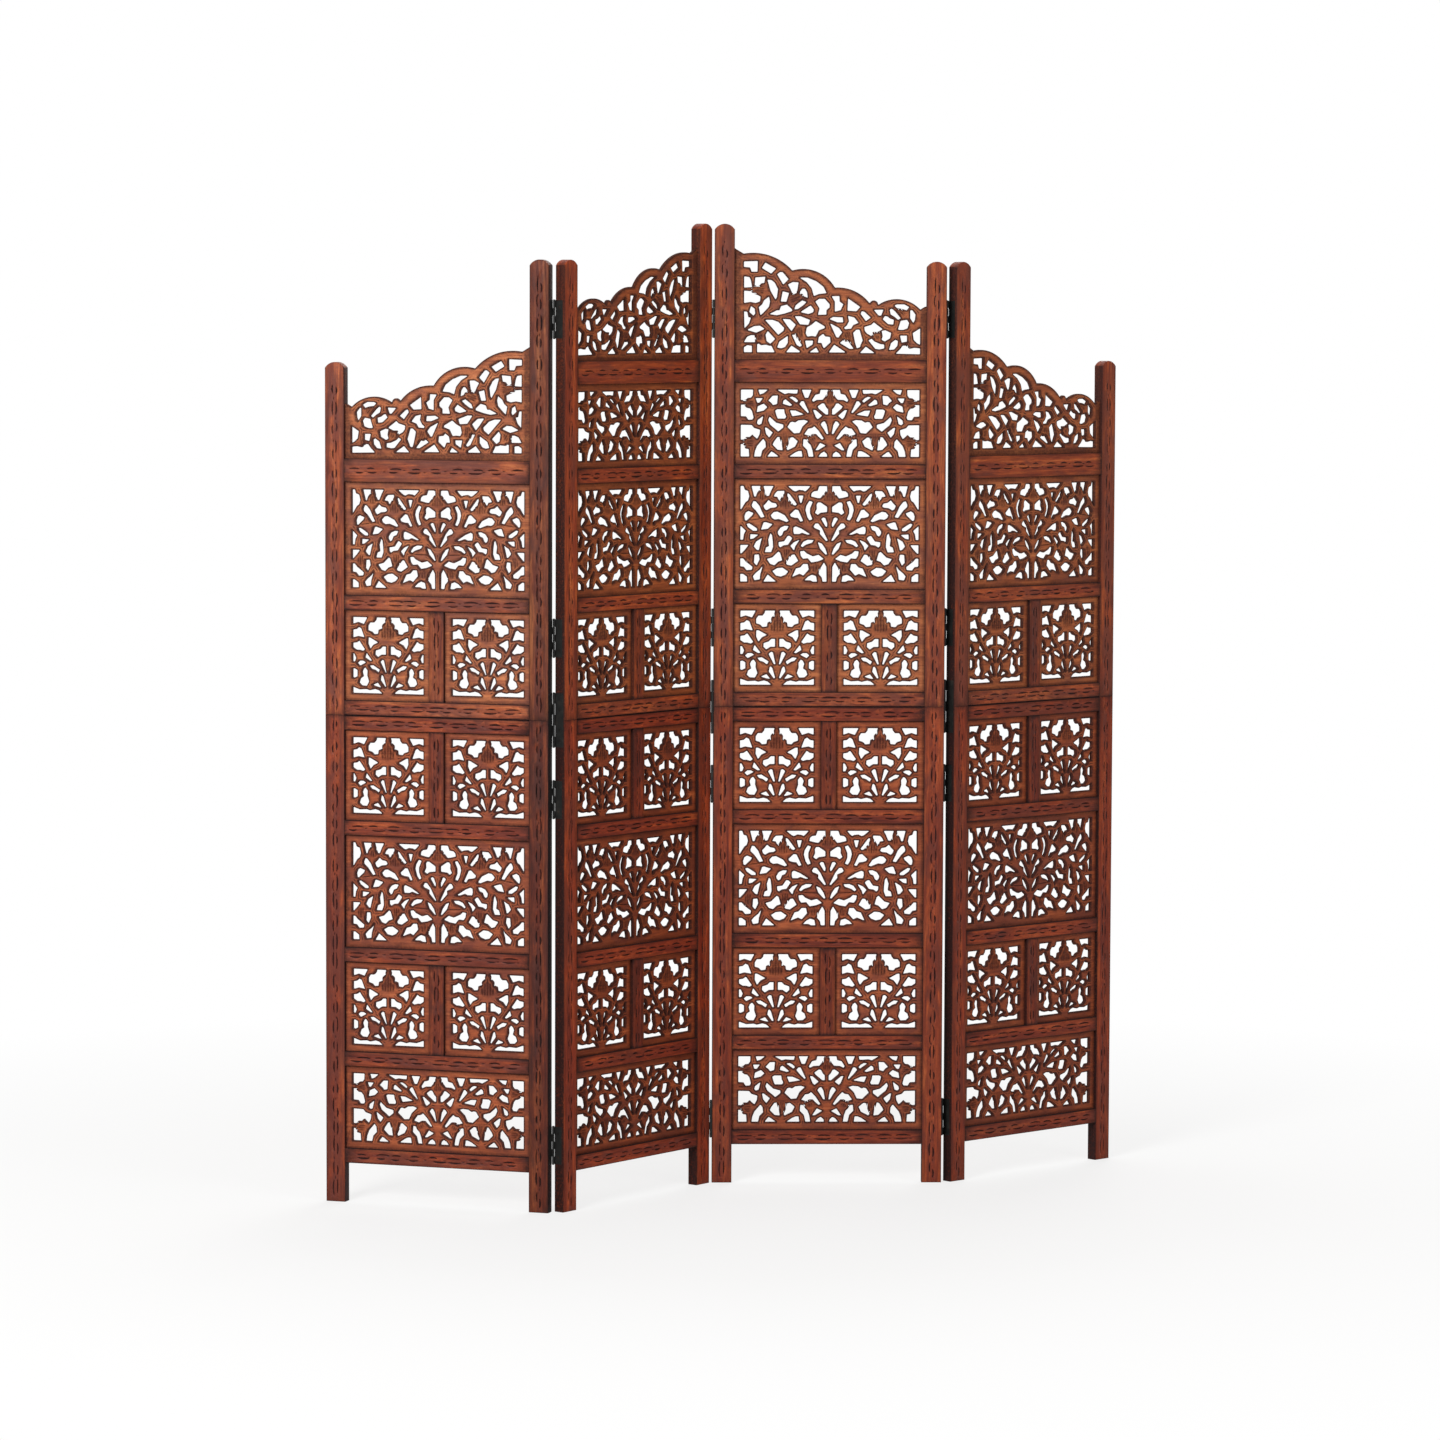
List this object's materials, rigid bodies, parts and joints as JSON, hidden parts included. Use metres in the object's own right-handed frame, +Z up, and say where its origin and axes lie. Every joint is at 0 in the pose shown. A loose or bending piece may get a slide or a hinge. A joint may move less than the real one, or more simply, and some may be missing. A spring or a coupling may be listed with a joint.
{
  "type": "carved folding screen",
  "caption": "Free-standing folding screen of pierced carved wood panels on black butt hinges, with stepped fretwork crests that rise towards the centre fold.",
  "frame": {"origin": "centre of the footprint's box at floor level, with the screen standing in its zigzag rest pose", "axes": "+Z up, +X along the screen's run from the first panel to the last, -Y towards the side it is seen from"},
  "size_m": [1.5044, 0.6934, 1.829],
  "materials": {
    "frame_wood": "hand carved solid hardwood, dark antiqued wax finish",
    "carved_wood": "pierced and relief carved hardwood, antiqued edges",
    "black_iron": "black lacquered steel",
    "black_screws": "blackened steel"
  },
  "bodies": {
    "panel_1": {"panel_1_crest": "carved_wood", "panel_1_large_trees": "carved_wood", "panel_1_lotus_tiles": "carved_wood", "panel_1_lower_left_stile": "frame_wood", "panel_1_lower_rails": "frame_wood", "panel_1_lower_right_stile": "frame_wood", "panel_1_muntins": "frame_wood", "panel_1_screws": "black_screws", "panel_1_short_trees": "carved_wood", "panel_1_upper_left_stile": "frame_wood", "panel_1_upper_rails": "frame_wood", "panel_1_upper_right_stile": "frame_wood", "fold_a_left_leaves": "black_iron", "left_edge_plate": "black_iron"},
    "panel_2": {"panel_2_crest": "carved_wood", "panel_2_large_trees": "carved_wood", "panel_2_lotus_tiles": "carved_wood", "panel_2_lower_left_stile": "frame_wood", "panel_2_lower_rails": "frame_wood", "panel_2_lower_right_stile": "frame_wood", "panel_2_muntins": "frame_wood", "panel_2_screws": "black_screws", "panel_2_short_trees": "carved_wood", "panel_2_upper_left_stile": "frame_wood", "panel_2_upper_rails": "frame_wood", "panel_2_upper_right_stile": "frame_wood", "fold_a_right_leaves": "black_iron", "fold_a_pins": "black_iron", "fold_b_left_leaves": "black_iron"},
    "panel_3": {"panel_3_crest": "carved_wood", "panel_3_large_trees": "carved_wood", "panel_3_lotus_tiles": "carved_wood", "panel_3_lower_left_stile": "frame_wood", "panel_3_lower_rails": "frame_wood", "panel_3_lower_right_stile": "frame_wood", "panel_3_muntins": "frame_wood", "panel_3_screws": "black_screws", "panel_3_short_trees": "carved_wood", "panel_3_upper_left_stile": "frame_wood", "panel_3_upper_rails": "frame_wood", "panel_3_upper_right_stile": "frame_wood", "fold_b_right_leaves": "black_iron", "fold_b_pins": "black_iron", "fold_c_left_leaves": "black_iron"},
    "panel_4": {"panel_4_crest": "carved_wood", "panel_4_large_trees": "carved_wood", "panel_4_lotus_tiles": "carved_wood", "panel_4_lower_left_stile": "frame_wood", "panel_4_lower_rails": "frame_wood", "panel_4_lower_right_stile": "frame_wood", "panel_4_muntins": "frame_wood", "panel_4_screws": "black_screws", "panel_4_short_trees": "carved_wood", "panel_4_upper_left_stile": "frame_wood", "panel_4_upper_rails": "frame_wood", "panel_4_upper_right_stile": "frame_wood", "fold_c_right_leaves": "black_iron", "fold_c_pins": "black_iron", "right_edge_plate": "black_iron"}
  },
  "joints": [
    {"name": "fold_a", "type": "hinge", "parent": "panel_2", "child": "panel_1", "pos_m": [-0.32365, -0.32524, 0.914], "axis": [0, 0, 1], "range_deg": [-110.1, 69.9]},
    {"name": "fold_b", "type": "hinge", "parent": "panel_2", "child": "panel_3", "pos_m": [-0.03258, 0.01146, 0.914], "axis": [0, 0, 1], "range_deg": [-129.3, 50.7]},
    {"name": "fold_c", "type": "hinge", "parent": "panel_3", "child": "panel_4", "pos_m": [0.41096, 0.04826, 0.914], "axis": [0, 0, 1], "range_deg": [-41, 139]}
  ]
}
